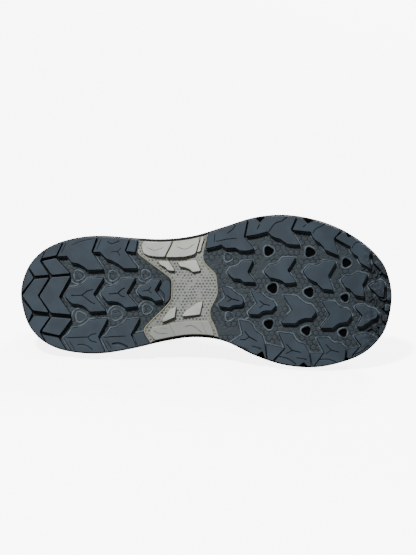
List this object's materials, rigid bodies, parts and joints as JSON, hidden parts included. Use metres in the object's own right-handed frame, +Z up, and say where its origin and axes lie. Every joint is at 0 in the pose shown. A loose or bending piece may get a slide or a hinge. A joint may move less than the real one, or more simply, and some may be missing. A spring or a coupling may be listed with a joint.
{
  "type": "trail running shoe",
  "caption": "Right trail running shoe lying on its inner side, lugged rubber outsole in heel and forefoot parts, grey midfoot plate, foam midsole and hollow laced upper.",
  "frame": {"origin": "on the floor under the middle of the shoe's box, as it lies on its inner side", "axes": "+X from heel to toe, tread facing -Y and slightly up, outer side of the shoe up along +Z"},
  "size_m": [0.2858, 0.124, 0.1149],
  "materials": {
    "outsole_rubber": "matte moulded rubber",
    "plate": "stippled moulded plate",
    "midsole_foam": "matte moulded foam",
    "insole_foam": "cloth-faced foam",
    "upper_mesh": "woven mesh",
    "overlay": "thin moulded film",
    "lace": "flat braid",
    "eyelet": "moulded rings"
  },
  "bodies": {
    "root": {"outsole_heel": "outsole_rubber", "outsole_forefoot": "outsole_rubber", "midfoot_plate": "plate", "midsole": "midsole_foam", "insole": "insole_foam", "upper": "upper_mesh", "tongue": "upper_mesh", "toe_cap": "overlay", "heel_counter": "overlay", "eyestay": "overlay", "laces": "lace", "eyelet_lateral_1": "eyelet", "eyelet_lateral_2": "eyelet", "eyelet_lateral_3": "eyelet", "eyelet_lateral_4": "eyelet", "eyelet_lateral_5": "eyelet", "eyelet_lateral_6": "eyelet", "eyelet_medial_1": "eyelet", "eyelet_medial_2": "eyelet", "eyelet_medial_3": "eyelet", "eyelet_medial_4": "eyelet", "eyelet_medial_5": "eyelet", "eyelet_medial_6": "eyelet"}
  },
  "joints": []
}
